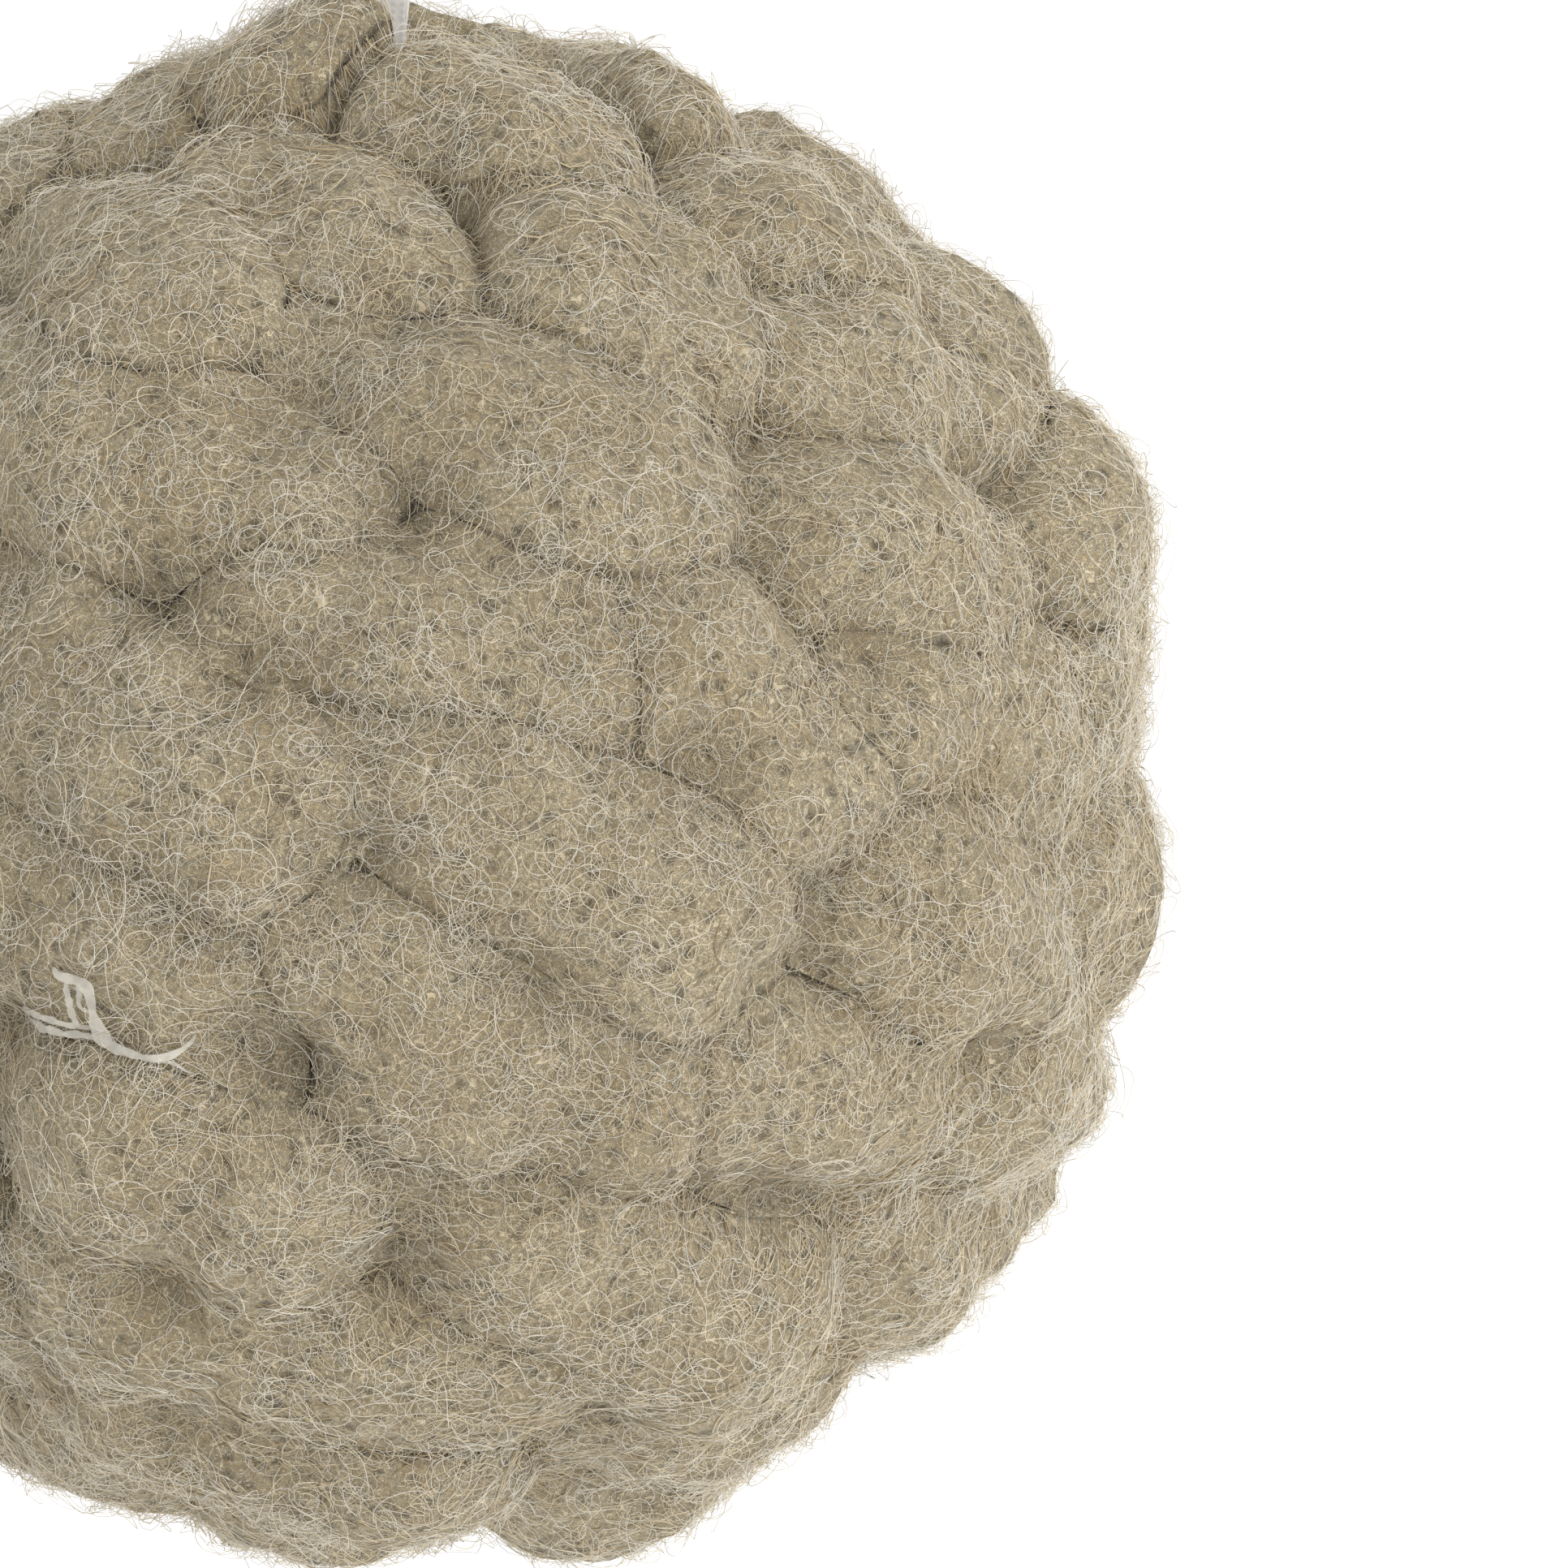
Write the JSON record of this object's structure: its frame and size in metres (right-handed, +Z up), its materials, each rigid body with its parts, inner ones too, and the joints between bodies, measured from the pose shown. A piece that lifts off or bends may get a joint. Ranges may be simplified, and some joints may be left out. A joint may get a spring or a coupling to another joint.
{
  "type": "yarn ball ornament",
  "caption": "Round hanging ball covered in thick, brushed, fuzzy yarn stitches over a foam core, with a narrow ribbon loop to hang it by.",
  "frame": {"origin": "the point at the top of the ribbon loop where a hook holds it; the centre of the ball is 0.106 m straight below", "axes": "+Z up along the hanging line, -Y towards the viewer, +X to the viewer's right; the rows of stitches run round an axis tilted 16 degrees from +Z towards +X"},
  "size_m": [0.1016, 0.1024, 0.1577],
  "materials": {
    "yarn": "brushed, fuzzy, matte",
    "core_foam": "white bead foam, matte",
    "hot_glue": "cloudy hot-melt glue, soft gloss",
    "ribbon": "white woven ribbon, slightly see-through"
  },
  "bodies": {
    "hanger": {"ribbon_loop": "ribbon"},
    "stem": {"ribbon_stem": "ribbon", "loop_knot": "ribbon"},
    "ball": {"core_ball": "core_foam", "glue_plug": "hot_glue", "ribbon_tails": "ribbon", "glue_wisp": "hot_glue", "glue_band_1": "hot_glue", "glue_band_2": "hot_glue", "glue_band_3": "hot_glue", "glue_band_4": "hot_glue", "glue_band_5": "hot_glue", "yarn_start": "yarn", "yarn_end": "yarn", "row_1_stitch_01": "yarn", "row_1_stitch_02": "yarn", "row_1_stitch_03": "yarn", "row_1_stitch_04": "yarn", "row_1_stitch_05": "yarn", "row_1_stitch_06": "yarn", "row_2_stitch_01": "yarn", "row_2_stitch_02": "yarn", "row_2_stitch_03": "yarn", "row_2_stitch_04": "yarn", "row_2_stitch_05": "yarn", "row_2_stitch_06": "yarn", "row_2_stitch_07": "yarn", "row_2_stitch_08": "yarn", "row_2_stitch_09": "yarn", "row_2_stitch_10": "yarn", "row_3_stitch_01": "yarn", "row_3_stitch_02": "yarn", "row_3_stitch_03": "yarn", "row_3_stitch_04": "yarn", "row_3_stitch_05": "yarn", "row_3_stitch_06": "yarn", "row_3_stitch_07": "yarn", "row_3_stitch_08": "yarn", "row_3_stitch_09": "yarn", "row_3_stitch_10": "yarn", "row_4_stitch_01": "yarn", "row_4_stitch_02": "yarn", "row_4_stitch_03": "yarn", "row_4_stitch_04": "yarn", "row_4_stitch_05": "yarn", "row_4_stitch_06": "yarn", "row_4_stitch_07": "yarn", "row_4_stitch_08": "yarn", "row_5_stitch_01": "yarn", "row_5_stitch_02": "yarn", "row_5_stitch_03": "yarn", "row_5_stitch_04": "yarn", "row_5_stitch_05": "yarn"}
  },
  "joints": [
    {"name": "ribbon_twist", "type": "hinge", "parent": "hanger", "child": "stem", "pos_m": [0, 0, -0.0453], "axis": [0, 0, 1], "range_deg": [-180, 180]},
    {"name": "ball_swing", "type": "hinge", "parent": "stem", "child": "ball", "pos_m": [0, 0, -0.0534], "axis": [1, 0, 0], "range_deg": [-35, 35]}
  ]
}
